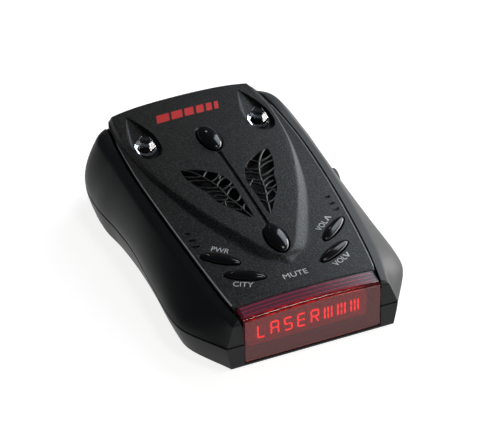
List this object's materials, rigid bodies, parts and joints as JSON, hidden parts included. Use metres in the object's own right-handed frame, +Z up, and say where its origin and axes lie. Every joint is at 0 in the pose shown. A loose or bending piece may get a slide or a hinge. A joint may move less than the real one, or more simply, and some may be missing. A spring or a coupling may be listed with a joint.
{
  "type": "radar detector",
  "caption": "Compact windscreen radar detector with a red display window, push buttons, a grilled speaker and a road-facing receiver in a waisted black case.",
  "frame": {"origin": "middle of the flat underside, at half the length and half the width of the case", "axes": "+Z up, +Y towards the road-facing end, -Y towards the display and the driver, +X to the right seen from the display"},
  "size_m": [0.0768, 0.11, 0.0293],
  "materials": {
    "case": "satin black moulded ABS",
    "panel": "fine-grained black paint with a faint metallic speckle",
    "window": "polished translucent dark red acrylic",
    "gloss_black": "polished black",
    "clear": "clear moulded polycarbonate",
    "cloth": "black woven speaker cloth",
    "infrared_window": "polished, near-black red",
    "circuit_board": "green solder resist",
    "display_module": "red epoxy face",
    "black_part": "matte black moulding",
    "white_part": "natural nylon",
    "tinned_metal": "tinned",
    "paper_cone": "black pulp",
    "magnet": "plated",
    "die_cast": "raw die casting",
    "screw_metal": "zinc plated",
    "label": "matte film label, blank"
  },
  "bodies": {
    "root": {"upper_case": "case", "lower_case": "case", "top_panel": "panel", "display_window": "window", "sensor_dome": "gloss_black", "left_prism": "clear", "right_prism": "clear", "speaker_cloth": "cloth", "laser_window": "infrared_window", "main_board": "circuit_board", "display_board": "circuit_board", "laser_board": "circuit_board", "display_module_left": "display_module", "display_module_right": "display_module", "display_header": "black_part", "processor_chip": "black_part", "clock_crystal": "tinned_metal", "filter_capacitor": "tinned_metal", "left_alert_lamp": "clear", "right_alert_lamp": "clear", "speaker_basket": "black_part", "speaker_cone": "paper_cone", "speaker_magnet": "magnet", "horn_antenna": "die_cast", "microwave_block": "die_cast", "microwave_cover": "die_cast", "laser_holder": "black_part", "laser_diode": "black_part", "laser_lens": "clear", "dome_diode": "clear", "power_socket": "black_part", "power_socket_pin": "tinned_metal", "rating_label": "label", "power_switch_body": "black_part", "city_switch_body": "black_part", "mute_switch_body": "black_part", "volume_up_switch_body": "black_part", "volume_down_switch_body": "black_part", "case_screw_front_left": "screw_metal", "board_screw_front_left": "screw_metal", "case_screw_front_right": "screw_metal", "board_screw_front_right": "screw_metal", "case_screw_rear_left": "screw_metal", "board_screw_rear_left": "screw_metal", "case_screw_rear_right": "screw_metal", "board_screw_rear_right": "screw_metal"},
    "power_button": {"power_button": "gloss_black", "power_switch_plunger": "white_part"},
    "city_button": {"city_button": "gloss_black", "city_switch_plunger": "white_part"},
    "mute_button": {"mute_button": "gloss_black", "mute_switch_plunger": "white_part"},
    "volume_up_button": {"volume_up_button": "gloss_black", "volume_up_switch_plunger": "white_part"},
    "volume_down_button": {"volume_down_button": "gloss_black", "volume_down_switch_plunger": "white_part"}
  },
  "joints": [
    {"name": "power_press", "type": "slide", "parent": "root", "child": "power_button", "axis": [0, 0, -1], "range_m": [0, 0.0005], "stiffness_N_per_m": 800, "springref_m": -0.0008},
    {"name": "city_press", "type": "slide", "parent": "root", "child": "city_button", "axis": [0, 0, -1], "range_m": [0, 0.0005], "stiffness_N_per_m": 800, "springref_m": -0.0008},
    {"name": "mute_press", "type": "slide", "parent": "root", "child": "mute_button", "axis": [0, 0, -1], "range_m": [0, 0.0005], "stiffness_N_per_m": 800, "springref_m": -0.0008},
    {"name": "volume_up_press", "type": "slide", "parent": "root", "child": "volume_up_button", "axis": [0, 0, -1], "range_m": [0, 0.0005], "stiffness_N_per_m": 800, "springref_m": -0.0008},
    {"name": "volume_down_press", "type": "slide", "parent": "root", "child": "volume_down_button", "axis": [0, 0, -1], "range_m": [0, 0.0005], "stiffness_N_per_m": 800, "springref_m": -0.0008}
  ]
}
